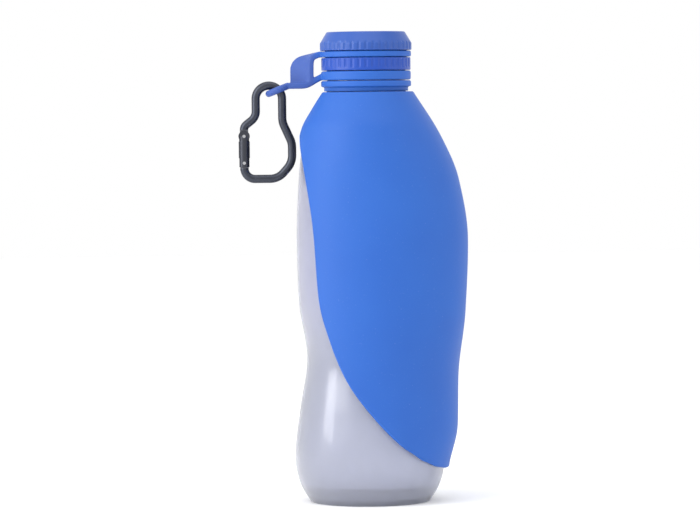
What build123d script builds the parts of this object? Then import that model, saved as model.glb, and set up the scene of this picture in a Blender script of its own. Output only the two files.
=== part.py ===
from build123d import *
import os
from math import cos, pi, radians, sin
from scipy.interpolate import PchipInterpolator

# A squeeze bottle for watering a dog on a walk.  A silicone leaf hugs the
# bottle and turns inside out over the neck to become a drinking scoop.
# Millimetres, +Z up, origin at the middle of the foot on the bottle's axis.
# The leaf bulges towards +X, the carabiner hangs towards -X.

# ---------------------------------------------------------------- bottle ---
bottle_wall = 1.2
foot_outer_radius = 29.8
foot_inner_radius = 24.5
punt_height = 3.2
base_wall = 1.6
heel_height = 7.0
heel_radius = 34.2
heel_top_height = 13.0
heel_top_radius = 36.3
low_belly_height = 22.0
low_belly_radius = 37.5
waist_top_flank_height = 46.0
waist_top_flank_radius = 34.8
waist_height = 72.0
waist_radius = 30.9
chest_height = 101.0
chest_radius = 34.8
high_belly_height = 130.0
high_belly_radius = 35.5
shoulder_start_height = 165.0
shoulder_start_radius = 33.9
shoulder_break_height = 187.0
shoulder_break_radius = 30.0
shoulder_mid_height = 196.0
shoulder_mid_radius = 25.2
neck_base_height = 205.4
neck_radius = 19.6
profile_step = 4.0

# Neck finish
neck_bead_thickness = 0.9
neck_bead_proud = 1.3
neck_bead_bevel = 0.2
neck_inner_taper = 3.0
finish_height = 13.7
thread_root_radius = 17.6
finish_wall = 1.6
mouth_edge_bevel = 0.5

# Thread, right-handed
thread_pitch = 4.5
thread_depth = 1.1
thread_base_width = 2.2
thread_crest_width = 1.0
thread_sink = 0.15
neck_thread_turns = 1.75
neck_thread_drop = 10.4
cap_thread_turns = 1.25
cap_thread_start_angle = 90.0

# ------------------------------------------------------------------ leaf ---
leaf_wall = 2.0
leaf_clearance = 0.6
collar_clearance = 0.3
collar_wall = 2.6
collar_height = 3.0
collar_edge_round = 0.6
fold_groove_height = 2.2
fold_web_wall = 1.1
fold_gap = 0.3
leaf_lip_flare_drop = 2.3
leaf_lip_flare = 0.2
leaf_level_step = 15.0
leaf_belly_ease = 0.8
leaf_shoulder_ease = 1.5
leaf_neck_ease = 1.0
leaf_tip_blunting = 1.5
leaf_tip_run_out = 1.0
leaf_front_breast_height = 182.0
leaf_front_breast_radius = 37.4
leaf_front_upper_height = 161.0
leaf_front_upper_radius = 45.9
leaf_front_crown_height = 131.0
leaf_front_crown_radius = 50.2
leaf_front_lower_height = 95.0
leaf_front_lower_radius = 48.6
leaf_front_waist_height = 62.0
leaf_front_waist_radius = 44.7
leaf_front_low_height = 38.0
leaf_front_low_radius = 44.2
leaf_tip_height = 16.5
# Where the two side edges of the leaf cross the side view
edge_back_height = 173.0
edge_back_x = -32.0
edge_high_height = 137.0
edge_high_x = -26.9
edge_mid_height = 101.0
edge_mid_x = -24.3
edge_turn_height = 83.0
edge_turn_x = -19.5
edge_low_height = 64.0
edge_low_x = -11.8
edge_lower_height = 46.0
edge_lower_x = 1.0
edge_tip_height = 26.0
edge_tip_x = 21.5
strap_slot_clearance = 2.0
strap_slot_depth = 5.0
notch_rise = 1.0
cut_margin = 1.0

# ---------------------------------------------------------------- tether ---
tether_wall = 2.5
tether_ring_height = 4.6
tether_ring_gap = 0.3
strap_width = 9.0
strap_thickness = 3.0
strap_drop = 2.5
strap_bend_out = 2.6
strap_bend_rise = 2.9
strap_level_out = 7.4
strap_bend_radius = 8.0
loop_far_out = 14.7
loop_far_height = 11.3
loop_far_bend_radius = 6.0
loop_near_out = 4.6
loop_near_height = 12.4
loop_near_bend_radius = 3.0
loop_lug_bend_radius = 4.0
lug_proud = 0.6
eyelet_section_radius = 1.7
eyelet_hole_radius = 3.4
eyelet_tilt = 22.0
eyelet_bar_clearance = 0.3
eyelet_bar_out = 26.3

# ------------------------------------------------------------------- cap ---
cap_bead_gap = 0.2
cap_skirt_length = 5.2
cap_skirt_proud = 1.9
cap_groove_width = 3.6
cap_groove_wall = 1.4
cap_head_proud = 2.5
cap_chamfer_drop = 5.7
cap_chamfer_in = 3.4
cap_top_thickness = 3.2
cap_top_edge_round = 1.0
cap_bore_clearance = 0.3
cap_thread_clearance = 0.35
cap_flutes = 40
cap_flute_radius = 1.1
cap_flute_depth = 0.35
cap_flute_run_out = 1.0
cap_ring_play = 0.3
cap_ring_height = 3.0
cap_ring_wall = 1.9
seal_thickness = 1.3
seal_overhang = 1.6
seal_outer_clearance = 0.3
seal_mouth_clearance = 0.1
turns_to_unscrew = 3

# ------------------------------------------------------------- carabiner ---
wire_radius = 2.1
carabiner_height = 46.6
narrow_lobe_width = 13.2
narrow_lobe_left_drop = 15.6
narrow_lobe_right_drop = 18.3
wide_lobe_out = 11.3
wide_lobe_top_drop = 28.8
wide_lobe_low_rise = 8.0
wide_lobe_corner_in = 7.0
hinge_bend_radius = 3.0
narrow_left_bend_radius = 6.0
narrow_right_bend_radius = 10.0
wide_top_bend_radius = 10.0
wide_low_bend_radius = 10.0
bottom_bend_radius = 9.0
nose_straight = 0.2
gate_radius = 2.8
gate_out = 12.6
gate_hinge_drop = 25.2
gate_latch_rise = 8.0
gate_end_overhang = 2.0
gate_gap = 0.5
gate_cheek_flat = 0.5
tang_thickness = 2.2
tang_clearance = 0.2
tang_straight = 1.5
tang_overlap = 1.2
hinge_pin_radius = 0.8
hinge_heel = 2.1
hinge_heel_round = 1.5
latch_pin_radius = 0.8
latch_pin_inset = 0.3
pin_clearance = 0.05
latch_notch_clearance = 0.35
gate_bore_radius = 1.45
gate_bore_depth = 6.5
plunger_radius = 1.35
plunger_length = 2.4
plunger_gap = 0.1
spring_wire_radius = 0.2
spring_end_gap = 0.05
spring_side_gap = 0.1
spring_turns = 4
spring_points_per_turn = 24


def smooth_curve(*stations):
    """A curve through (height, value) stations that never overshoots them."""
    ordered = sorted(stations)
    return PchipInterpolator([s[0] for s in ordered], [s[1] for s in ordered])


def heights(low, high, step):
    """Evenly spaced heights from low to high, about a step apart."""
    count = max(2, round((high - low) / step))
    return [low + (high - low) * i / count for i in range(count + 1)]


# ------------------------------------------------------ bottle's outline ---
bottle_radius = smooth_curve(
    (0, foot_outer_radius),
    (heel_height, heel_radius),
    (heel_top_height, heel_top_radius),
    (low_belly_height, low_belly_radius),
    (waist_top_flank_height, waist_top_flank_radius),
    (waist_height, waist_radius),
    (chest_height, chest_radius),
    (high_belly_height, high_belly_radius),
    (shoulder_start_height, shoulder_start_radius),
    (shoulder_break_height, shoulder_break_radius),
    (shoulder_mid_height, shoulder_mid_radius),
    (neck_base_height, neck_radius),
)

# --------------------------------------------------- places worked out -----
# Up the neck: fold web, leaf collar, tether's ring, bead, thread, mouth.
collar_inner = neck_radius + collar_clearance
collar_outer = collar_inner + collar_wall
fold_web_outer = collar_inner + fold_web_wall
fold_web_base = neck_base_height
collar_base = fold_web_base + fold_groove_height
collar_top = collar_base + collar_height
leaf_top = fold_web_base - fold_gap
fold_height = (fold_web_base + leaf_top) / 2
neck_ring_inner = neck_radius + collar_clearance
neck_ring_outer = neck_ring_inner + tether_wall
neck_ring_base = collar_top + tether_ring_gap
neck_ring_top = neck_ring_base + tether_ring_height
neck_bead_height = neck_ring_top + tether_ring_gap
neck_bead_top = neck_bead_height + neck_bead_thickness
neck_bead_radius = neck_radius + neck_bead_proud
mouth_height = neck_bead_top + finish_height
thread_crest_radius = thread_root_radius + thread_depth
neck_bore_radius = thread_root_radius - finish_wall
neck_thread_start = mouth_height - neck_thread_drop

# The cap, from its skirt to its top.
cap_bore_radius = thread_crest_radius + cap_bore_clearance
cap_thread_crest = thread_root_radius + cap_thread_clearance
cap_skirt_base = neck_bead_top + cap_bead_gap
cap_groove_base = cap_skirt_base + cap_skirt_length
cap_head_base = cap_groove_base + cap_groove_width
cap_groove_radius = cap_bore_radius + cap_groove_wall
cap_skirt_radius = cap_groove_radius + cap_skirt_proud
cap_head_radius = cap_groove_radius + cap_head_proud
cap_top_radius = cap_head_radius - cap_chamfer_in
seal_base = mouth_height + seal_mouth_clearance
cap_ceiling = seal_base + seal_thickness
cap_top = cap_ceiling + cap_top_thickness
cap_chamfer_base = cap_top - cap_chamfer_drop
cap_ring_inner = cap_groove_radius + cap_ring_play
cap_ring_outer = cap_ring_inner + cap_ring_wall
cap_ring_base = cap_groove_base + (cap_groove_width - cap_ring_height) / 2
cap_ring_middle = cap_ring_base + cap_ring_height / 2

# The tether's strap ends in the eyelet whose far side is the carabiner's bar.
strap_level = neck_ring_base - strap_drop
strap_top = strap_level + strap_thickness / 2
lug_x = -cap_ring_outer - lug_proud
bar_x = -neck_ring_outer - eyelet_bar_out
eyelet_ring_radius = eyelet_hole_radius + eyelet_section_radius
tilt = radians(eyelet_tilt)
eyelet_x = bar_x + eyelet_ring_radius * cos(tilt)
eyelet_height = strap_level - eyelet_ring_radius * sin(tilt)
bar_height = eyelet_height - eyelet_ring_radius * sin(tilt)
eyelet_plane = Plane(origin=(eyelet_x, 0, eyelet_height), z_dir=(-sin(tilt), 0, cos(tilt)))

# The carabiner hangs on that bar.
carabiner_top = bar_height + eyelet_section_radius + eyelet_bar_clearance + wire_radius
carabiner_bottom = carabiner_top - carabiner_height
narrow_left_x = bar_x - narrow_lobe_width / 2
narrow_right_x = bar_x + narrow_lobe_width / 2
wide_right_x = bar_x + wide_lobe_out
gate_x = bar_x - gate_out
gate_hinge_height = carabiner_top - gate_hinge_drop
gate_latch_height = carabiner_bottom + gate_latch_rise
gate_top = gate_hinge_height + gate_radius
gate_bottom = gate_latch_height - gate_end_overhang
tang_start = gate_top + gate_gap
nose_end = gate_bottom - gate_gap
nose_top = gate_latch_height + gate_end_overhang
slot_width = tang_thickness + 2 * tang_clearance
hinge_slot_floor = gate_hinge_height - hinge_heel - gate_gap
latch_slot_roof = nose_top + gate_gap

# --------------------------------------------------------- leaf's shape ----
lip_flare_height = leaf_top - leaf_lip_flare_drop
lip_radius = fold_web_outer + leaf_wall + leaf_lip_flare
flare_radius = collar_outer + leaf_wall + leaf_lip_flare
hug_offset = leaf_clearance + leaf_wall

leaf_low_end = leaf_tip_height - leaf_tip_run_out
leaf_hug = smooth_curve(
    (leaf_low_end, low_belly_radius + hug_offset),
    (low_belly_height, low_belly_radius + hug_offset),
    (high_belly_height, low_belly_radius + hug_offset - leaf_belly_ease),
    (shoulder_start_height, shoulder_start_radius + hug_offset + leaf_shoulder_ease),
    (shoulder_break_height, shoulder_break_radius + hug_offset + leaf_neck_ease),
    (shoulder_mid_height, shoulder_mid_radius + hug_offset + leaf_neck_ease),
    (lip_flare_height, flare_radius),
    (leaf_top, lip_radius),
)
leaf_tip_radius = float(bottle_radius(leaf_tip_height)) + hug_offset
leaf_front = smooth_curve(
    (leaf_low_end, leaf_tip_radius - leaf_tip_run_out / 10),
    (leaf_tip_height, leaf_tip_radius),
    (leaf_front_low_height, leaf_front_low_radius),
    (leaf_front_waist_height, leaf_front_waist_radius),
    (leaf_front_lower_height, leaf_front_lower_radius),
    (leaf_front_crown_height, leaf_front_crown_radius),
    (leaf_front_upper_height, leaf_front_upper_radius),
    (leaf_front_breast_height, leaf_front_breast_radius),
    (lip_flare_height, flare_radius),
    (leaf_top, lip_radius),
)
leaf_levels = [leaf_top, lip_flare_height]
leaf_levels += heights(leaf_low_end, lip_flare_height - leaf_level_step / 2, leaf_level_step)[::-1]


def thread_solid(root, crest, out, start, turns, angle):
    """A right-handed ridge from root to crest; out is 1 outwards, -1 inwards."""
    with BuildPart() as ridge:
        with BuildLine(Plane.XY.offset(start)) as path:
            Helix(pitch=thread_pitch, height=thread_pitch * turns, radius=root)
        with BuildSketch(Plane(origin=path.line @ 0, x_dir=(1, 0, 0), z_dir=path.line % 0)):
            with BuildLine():
                Polyline(
                    (-out * thread_sink, -thread_base_width / 2),
                    (crest - root, -thread_crest_width / 2),
                    (crest - root, thread_crest_width / 2),
                    (-out * thread_sink, thread_base_width / 2),
                    close=True,
                )
            make_face()
        sweep(is_frenet=True)
    return ridge.part.rotate(Axis.Z, angle)


# ============================================================== bottle =====
neck_thread = thread_solid(
    thread_root_radius, thread_crest_radius, 1,
    neck_thread_start, neck_thread_turns, 0,
)

cavity_low = heel_height - 2.5
outer_wall = [(float(bottle_radius(z)), z) for z in heights(0, neck_base_height, profile_step)]
inner_wall = [
    (float(bottle_radius(z)) - bottle_wall, z)
    for z in heights(cavity_low, neck_base_height, profile_step)
]
with BuildPart() as bottle_body:
    with BuildSketch(Plane.XZ):
        with BuildLine():
            Polyline((foot_inner_radius, 0), outer_wall[0])
            Spline(*outer_wall)
            Polyline(
                outer_wall[-1],
                (neck_radius, neck_bead_height),
                (neck_bead_radius, neck_bead_height + neck_bead_bevel),
                (neck_bead_radius, neck_bead_top - neck_bead_bevel),
                (thread_root_radius, neck_bead_top),
                (thread_root_radius, mouth_height - mouth_edge_bevel),
                (thread_root_radius - mouth_edge_bevel, mouth_height),
                (neck_bore_radius, mouth_height),
                (neck_bore_radius, neck_bead_height),
                (neck_radius - bottle_wall, neck_bead_height - neck_inner_taper),
                inner_wall[-1],
            )
            Spline(*inner_wall)
            Polyline(
                inner_wall[0],
                (foot_inner_radius, base_wall),
                (0, punt_height + base_wall),
                (0, punt_height),
            )
            ThreePointArc(
                (0, punt_height),
                (foot_inner_radius / 2, punt_height * 0.75),
                (foot_inner_radius, 0),
            )
        make_face()
    revolve(axis=Axis.Z)
    add(neck_thread)
bottle_body.part.label = "bottle_body"

# ================================================================ leaf =====
with BuildPart() as leaf_collar:
    with BuildSketch(Plane.XZ):
        with BuildLine():
            Polyline(
                (collar_inner, fold_web_base),
                (fold_web_outer, fold_web_base),
                (fold_web_outer, collar_base),
                (collar_outer, collar_base),
                (collar_outer, collar_top),
                (collar_inner, collar_top),
                close=True,
            )
        make_face()
    revolve(axis=Axis.Z)
    fillet(leaf_collar.edges().filter_by(GeomType.CIRCLE).group_by(SortBy.RADIUS)[-1], collar_edge_round)
leaf_collar.part.label = "leaf_collar"


def leaf_section(height, inset):
    """Middle and half-sizes of the leaf's oval at a height, inset by a wall."""
    front = float(leaf_front(height))
    hug = float(leaf_hug(height))
    return (front - hug) / 2, (front + hug) / 2 - inset, hug - inset


with BuildPart() as leaf_blade:
    for level in leaf_levels:
        middle, half_x, half_y = leaf_section(level, 0)
        with BuildSketch(Plane.XY.offset(level)):
            with Locations((middle, 0)):
                Ellipse(half_x, half_y)
    loft()
    for level in leaf_levels:
        middle, half_x, half_y = leaf_section(level, leaf_wall)
        with BuildSketch(Plane.XY.offset(level)):
            with Locations((middle, 0)):
                Ellipse(half_x, half_y)
    loft(mode=Mode.SUBTRACT)
    # Everything behind the leaf's side edges is cut away, up to the notch
    # where the two edges meet at the back of the bottle.
    notch_height = shoulder_break_height + notch_rise
    far_back = -2 * low_belly_radius
    with BuildSketch(Plane.XZ):
        with BuildLine():
            Spline(
                (-float(leaf_hug(notch_height)) - cut_margin, notch_height),
                (edge_back_x, edge_back_height),
                (edge_high_x, edge_high_height),
                (edge_mid_x, edge_mid_height),
                (edge_turn_x, edge_turn_height),
                (edge_low_x, edge_low_height),
                (edge_lower_x, edge_lower_height),
                (edge_tip_x, edge_tip_height),
                (leaf_tip_radius - leaf_tip_blunting, leaf_tip_height),
                tangents=((0.1, -1), (1, -0.3)),
            )
            Polyline(
                (leaf_tip_radius - leaf_tip_blunting, leaf_tip_height),
                (2 * leaf_tip_radius, leaf_tip_height),
                (2 * leaf_tip_radius, 0),
                (far_back, 0),
                (far_back, notch_height),
                (-float(leaf_hug(notch_height)) - cut_margin, notch_height),
            )
        make_face()
    extrude(amount=2 * low_belly_radius, both=True, mode=Mode.SUBTRACT)
    # The tether passes through this slot when the leaf is turned out.
    slot_floor = edge_back_height - strap_slot_depth
    with BuildSketch(Plane.XY.offset(slot_floor)):
        with Locations((far_back / 2, 0)):
            Rectangle(-far_back, strap_width + 2 * strap_slot_clearance)
    extrude(amount=leaf_top + cut_margin - slot_floor, mode=Mode.SUBTRACT)
leaf_blade.part.label = "leaf_blade"

# ============================================================== tether =====
with BuildPart() as tether_neck_ring:
    with BuildSketch(Plane.XY.offset(neck_ring_base)):
        Circle(neck_ring_outer)
        Circle(neck_ring_inner, mode=Mode.SUBTRACT)
    extrude(amount=tether_ring_height)
    fillet(tether_neck_ring.edges().filter_by(GeomType.CIRCLE).group_by(SortBy.RADIUS)[-1], collar_edge_round)
    with BuildSketch(Plane.XZ):
        with BuildLine():
            FilletPolyline(
                (-neck_ring_outer + tether_wall / 2, neck_ring_base + tether_ring_height / 2),
                (-neck_ring_outer - strap_bend_out, strap_level + strap_bend_rise),
                (-neck_ring_outer - strap_level_out, strap_level),
                (eyelet_x + eyelet_ring_radius - eyelet_section_radius / 2, strap_level),
                radius=strap_bend_radius,
            )
        trace(line_width=strap_thickness)
    extrude(amount=strap_width / 2, both=True)
    with Locations(eyelet_plane):
        Torus(eyelet_ring_radius, eyelet_section_radius)
    with Locations(eyelet_plane):
        Cylinder(eyelet_hole_radius, 3 * eyelet_section_radius, mode=Mode.SUBTRACT)
tether_neck_ring.part.label = "tether_neck_ring"

# The loop is folded on the skew: it reaches further out behind than in front.
with BuildPart() as tether_loop:
    for side_offset, out, height, bend_radius in (
        (-strap_width / 2, loop_far_out, loop_far_height, loop_far_bend_radius),
        (strap_width / 2, loop_near_out, loop_near_height, loop_near_bend_radius),
    ):
        with BuildSketch(Plane.XZ.offset(side_offset)):
            with BuildLine():
                FilletPolyline(
                    (-neck_ring_outer - out, strap_top),
                    (-neck_ring_outer - out, strap_top + height),
                    (lug_x, cap_ring_middle),
                    (lug_x + 2 * strap_thickness, cap_ring_middle),
                    radius=(bend_radius, loop_lug_bend_radius),
                )
            trace(line_width=strap_thickness)
    loft(ruled=True)
    # Its ends are cut to the lug's flat end and to the strap that it stands on.
    with Locations((lug_x, 0, cap_ring_middle)):
        Box(
            3 * strap_thickness, 2 * strap_width, 3 * strap_thickness,
            align=(Align.MIN, Align.CENTER, Align.CENTER), mode=Mode.SUBTRACT,
        )
    add(tether_neck_ring.part, mode=Mode.SUBTRACT)
tether_loop.part.label = "tether_loop"

with BuildPart() as tether_cap_ring:
    with BuildSketch(Plane.XY.offset(cap_ring_base)):
        Circle(cap_ring_outer)
        Circle(cap_ring_inner, mode=Mode.SUBTRACT)
    extrude(amount=cap_ring_height)
    with BuildSketch(Plane.XY.offset(cap_ring_middle - strap_thickness / 2)):
        with Locations((lug_x, 0)):
            Rectangle(
                -lug_x - cap_ring_inner - cap_ring_wall / 2, strap_width,
                align=(Align.MIN, Align.CENTER),
            )
    extrude(amount=strap_thickness)
tether_cap_ring.part.label = "tether_cap_ring"

# ================================================================= cap =====
cap_thread = thread_solid(
    cap_bore_radius, cap_thread_crest, -1,
    neck_thread_start + thread_pitch * (cap_thread_start_angle / 360 - 0.5),
    cap_thread_turns, cap_thread_start_angle,
)

with BuildPart() as cap_shell:
    with BuildSketch(Plane.XZ):
        with BuildLine():
            Polyline(
                (cap_bore_radius, cap_skirt_base),
                (cap_skirt_radius, cap_skirt_base),
                (cap_skirt_radius, cap_groove_base),
                (cap_groove_radius, cap_groove_base),
                (cap_groove_radius, cap_head_base),
                (cap_head_radius, cap_head_base),
                (cap_head_radius, cap_chamfer_base),
                (cap_top_radius, cap_top),
                (0, cap_top),
                (0, cap_ceiling),
                (cap_bore_radius, cap_ceiling),
                close=True,
            )
        make_face()
    revolve(axis=Axis.Z)
    top_rim = cap_shell.edges().filter_by(GeomType.CIRCLE).group_by(Axis.Z)[-1]
    fillet(top_rim, cap_top_edge_round)
    for rim, low, high in (
        (cap_skirt_radius, cap_skirt_base, cap_groove_base),
        (cap_head_radius, cap_head_base, cap_chamfer_base + cap_flute_run_out),
    ):
        with BuildSketch(Plane.XY.offset(low)):
            with PolarLocations(rim + cap_flute_radius - cap_flute_depth, cap_flutes):
                Circle(cap_flute_radius)
        extrude(amount=high - low, mode=Mode.SUBTRACT)
    add(cap_thread)
cap_shell.part.label = "cap_shell"

with BuildPart() as cap_seal:
    with BuildSketch(Plane.XY.offset(seal_base)):
        Circle(cap_bore_radius - seal_outer_clearance)
        Circle(neck_bore_radius - seal_overhang, mode=Mode.SUBTRACT)
    extrude(amount=seal_thickness)
cap_seal.part.label = "cap_seal"

# =========================================================== carabiner =====
nose_bend_radius = nose_end - carabiner_bottom - nose_straight
lobe_bend_radius = narrow_lobe_width / 2 - 0.001

with BuildPart() as carabiner_frame:
    with BuildLine(Plane.XZ) as bent_rod:
        FilletPolyline(
            (gate_x, tang_start),
            (gate_x, tang_start + tang_straight),
            (narrow_left_x, carabiner_top - narrow_lobe_left_drop),
            (narrow_left_x, carabiner_top),
            (narrow_right_x, carabiner_top),
            (narrow_right_x, carabiner_top - narrow_lobe_right_drop),
            (wide_right_x, carabiner_top - wide_lobe_top_drop),
            (wide_right_x, carabiner_bottom + wide_lobe_low_rise),
            (wide_right_x - wide_lobe_corner_in, carabiner_bottom),
            (gate_x, carabiner_bottom),
            (gate_x, nose_end),
            radius=(
                hinge_bend_radius, narrow_left_bend_radius, lobe_bend_radius,
                lobe_bend_radius, narrow_right_bend_radius, wide_top_bend_radius,
                wide_low_bend_radius, bottom_bend_radius, nose_bend_radius,
            ),
        )
    with BuildSketch(Plane(origin=(gate_x, 0, tang_start), z_dir=(0, 0, 1))):
        Circle(wire_radius)
    sweep()
    # Flat tang at the hinge, with a rounded heel that the plunger bears on
    with BuildSketch(Plane.XZ) as tang:
        with Locations((gate_x, gate_hinge_height - hinge_heel)):
            Rectangle(
                2 * wire_radius, tang_start + tang_overlap - gate_hinge_height + hinge_heel,
                align=(Align.CENTER, Align.MIN),
            )
        fillet(tang.vertices().group_by(Axis.Z)[0], hinge_heel_round)
    extrude(amount=tang_thickness / 2, both=True)
    with BuildSketch(Plane.XZ):
        with Locations((gate_x, gate_hinge_height)):
            Circle(hinge_pin_radius + pin_clearance)
    extrude(amount=tang_thickness, both=True, mode=Mode.SUBTRACT)
    # Nose with its notch for the latch pin, open towards the inside
    with BuildSketch(Plane.XZ):
        with Locations((gate_x, nose_end - tang_overlap)):
            Rectangle(
                2 * wire_radius, nose_top - nose_end + tang_overlap,
                align=(Align.CENTER, Align.MIN),
            )
    extrude(amount=tang_thickness / 2, both=True)
    notch_half = latch_pin_radius + latch_notch_clearance
    with BuildSketch(Plane.XZ):
        with Locations((gate_x, gate_latch_height)):
            Circle(notch_half)
        with Locations((gate_x, gate_latch_height)):
            Rectangle(2 * wire_radius, 2 * notch_half, align=(Align.MIN, Align.CENTER))
    extrude(amount=tang_thickness, both=True, mode=Mode.SUBTRACT)
carabiner_frame.part.label = "carabiner_frame"

with BuildPart() as carabiner_gate:
    with BuildSketch(Plane.XY.offset(gate_bottom)):
        with Locations((gate_x, 0)):
            Circle(gate_radius)
    extrude(amount=gate_hinge_height - gate_bottom)
    with BuildSketch(Plane.XZ):
        with Locations((gate_x, gate_hinge_height)):
            Circle(gate_radius)
    extrude(amount=gate_radius - gate_cheek_flat, both=True)
    with BuildSketch(Plane.XZ):
        with Locations((gate_x, hinge_slot_floor)):
            Rectangle(3 * gate_radius, 4 * gate_radius, align=(Align.CENTER, Align.MIN))
        with Locations((gate_x, latch_slot_roof)):
            Rectangle(3 * gate_radius, 3 * gate_radius, align=(Align.CENTER, Align.MAX))
    extrude(amount=slot_width / 2, both=True, mode=Mode.SUBTRACT)
    with BuildSketch(Plane.XY.offset(hinge_slot_floor)):
        with Locations((gate_x, 0)):
            Circle(gate_bore_radius)
    extrude(amount=-gate_bore_depth, mode=Mode.SUBTRACT)
    with BuildSketch(Plane.XZ):
        with Locations((gate_x, gate_hinge_height)):
            Circle(hinge_pin_radius)
        with Locations((gate_x, gate_latch_height)):
            Circle(latch_pin_radius)
    extrude(amount=2 * gate_radius, both=True, mode=Mode.SUBTRACT)
carabiner_gate.part.label = "carabiner_gate"

with BuildPart() as gate_pin:
    with BuildSketch(Plane.XZ):
        with Locations((gate_x, gate_hinge_height)):
            Circle(hinge_pin_radius)
    extrude(amount=gate_radius - gate_cheek_flat, both=True)
gate_pin.part.label = "gate_pin"

with BuildPart() as gate_latch_pin:
    with BuildSketch(Plane.XZ):
        with Locations((gate_x, gate_latch_height)):
            Circle(latch_pin_radius)
    extrude(amount=gate_radius - latch_pin_inset, both=True)
gate_latch_pin.part.label = "gate_latch_pin"

# The plunger's domed tip bears on the heel of the tang.
plunger_tip = gate_hinge_height - hinge_heel - plunger_gap
plunger_foot = plunger_tip - plunger_length
with BuildPart() as gate_plunger:
    with BuildSketch(Plane.XZ):
        with BuildLine():
            ThreePointArc(
                (gate_x, plunger_tip),
                (
                    gate_x + plunger_radius * sin(radians(45)),
                    plunger_tip - plunger_radius * (1 - cos(radians(45))),
                ),
                (gate_x + plunger_radius, plunger_tip - plunger_radius),
            )
            Polyline(
                (gate_x + plunger_radius, plunger_tip - plunger_radius),
                (gate_x + plunger_radius, plunger_foot),
                (gate_x, plunger_foot),
                (gate_x, plunger_tip),
            )
        make_face()
    revolve(axis=Axis((gate_x, 0, 0), (0, 0, 1)))
gate_plunger.part.label = "gate_plunger"

spring_low = hinge_slot_floor - gate_bore_depth + spring_wire_radius + spring_end_gap
spring_high = plunger_foot - spring_wire_radius - spring_end_gap
spring_coil_radius = gate_bore_radius - spring_wire_radius - spring_side_gap
spring_pitch = (spring_high - spring_low) / spring_turns
with BuildPart() as gate_spring:
    with BuildLine(Plane.XY.offset(spring_low)) as coil:
        Helix(
            pitch=spring_pitch, height=spring_high - spring_low,
            radius=spring_coil_radius, center=(gate_x, 0, 0),
        )
    with BuildSketch(Plane(origin=coil.line @ 0, z_dir=coil.line % 0)):
        Circle(spring_wire_radius)
    sweep(is_frenet=True)
gate_spring.part.label = "gate_spring"


def coil_point(step):
    """A point on the spring's centreline."""
    turn = step / spring_points_per_turn
    return Vector(
        spring_coil_radius * cos(2 * pi * turn),
        spring_coil_radius * sin(2 * pi * turn),
        spring_pitch * turn,
    )


coil_points = [coil_point(i) for i in range(spring_turns * spring_points_per_turn + 1)]
coil_gap = min(
    (coil_points[i] - coil_points[j]).length - 2 * spring_wire_radius
    for i in range(len(coil_points))
    for j in range(i + spring_points_per_turn // 2, len(coil_points))
)
print(f"spring: least gap to itself {coil_gap:.2f} mm")

# ============================================================ written out ==
os.makedirs("parts", exist_ok=True)
for piece in (
    bottle_body, leaf_collar, leaf_blade,
    tether_neck_ring, tether_loop, tether_cap_ring,
    cap_shell, cap_seal,
    carabiner_frame, carabiner_gate, gate_pin, gate_latch_pin,
    gate_plunger, gate_spring,
):
    export_step(piece.part, f"parts/{piece.part.label}.step")

print(f"fold axis at z {fold_height:.3f}")
print(f"carabiner swings about x {bar_x:.3f}, z {bar_height:.3f}")
print(f"gate turns about x {gate_x:.3f}, z {gate_hinge_height:.3f}")
print(f"cap lifts {thread_pitch * turns_to_unscrew:.2f} mm in {turns_to_unscrew} turns")
print(f"cap's top at z {cap_top:.3f}")
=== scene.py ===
# %% [markdown]
# # Dog travel water bottle
#
# A squeeze bottle for watering a dog on a walk. A blue silicone leaf hugs the bottle. It turns
# inside out over the neck, and is then the scoop that the dog drinks from. A screw cap is held
# by a soft tether, and the tether's eyelet carries a small gourd-shaped carabiner.
#
# The moving frame of the part comes from its imported model. Every piece here is drawn round that
# frame, in metres, and most ride on one of its bodies. The sizes below are in millimetres, because
# a maker would measure this object so, and `MM` turns them into metres at the last moment.

from math import ceil, cos, pi, radians, sin, tan

import bmesh
import bpy
import numpy as np
from mathutils import Matrix, Vector


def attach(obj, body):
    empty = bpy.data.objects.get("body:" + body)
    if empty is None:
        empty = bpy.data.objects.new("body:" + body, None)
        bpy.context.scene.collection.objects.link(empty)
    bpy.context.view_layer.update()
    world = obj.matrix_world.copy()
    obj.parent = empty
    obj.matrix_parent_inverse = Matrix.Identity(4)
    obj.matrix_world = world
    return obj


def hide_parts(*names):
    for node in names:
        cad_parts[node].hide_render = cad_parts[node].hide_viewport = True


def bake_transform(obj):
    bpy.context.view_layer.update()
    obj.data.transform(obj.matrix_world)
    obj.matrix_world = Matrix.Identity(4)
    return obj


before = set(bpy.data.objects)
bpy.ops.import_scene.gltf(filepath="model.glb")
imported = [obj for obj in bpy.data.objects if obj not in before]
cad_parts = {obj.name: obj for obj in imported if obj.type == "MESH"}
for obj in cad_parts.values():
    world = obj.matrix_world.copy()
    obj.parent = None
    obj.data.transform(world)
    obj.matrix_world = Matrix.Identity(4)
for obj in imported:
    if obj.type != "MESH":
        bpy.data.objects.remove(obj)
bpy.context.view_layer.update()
MM = 0.001

# %% [markdown]
# ## Camera
#
# The photograph was taken from a long way off, because the cap and the foot show almost no
# ellipse and no convergence. A long lens far away gives that flat look. The camera stands a
# little above the middle of the bottle, and is rolled by under a degree, as the bottle leans in
# the picture.

# %% Camera
photo_width_mm = 350.7
frame_centre = Vector((-9.05, 0, 119.7)) * MM
camera_distance_mm = 1900
camera_elevation = radians(2.5)
camera_roll = radians(0.65)

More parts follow.
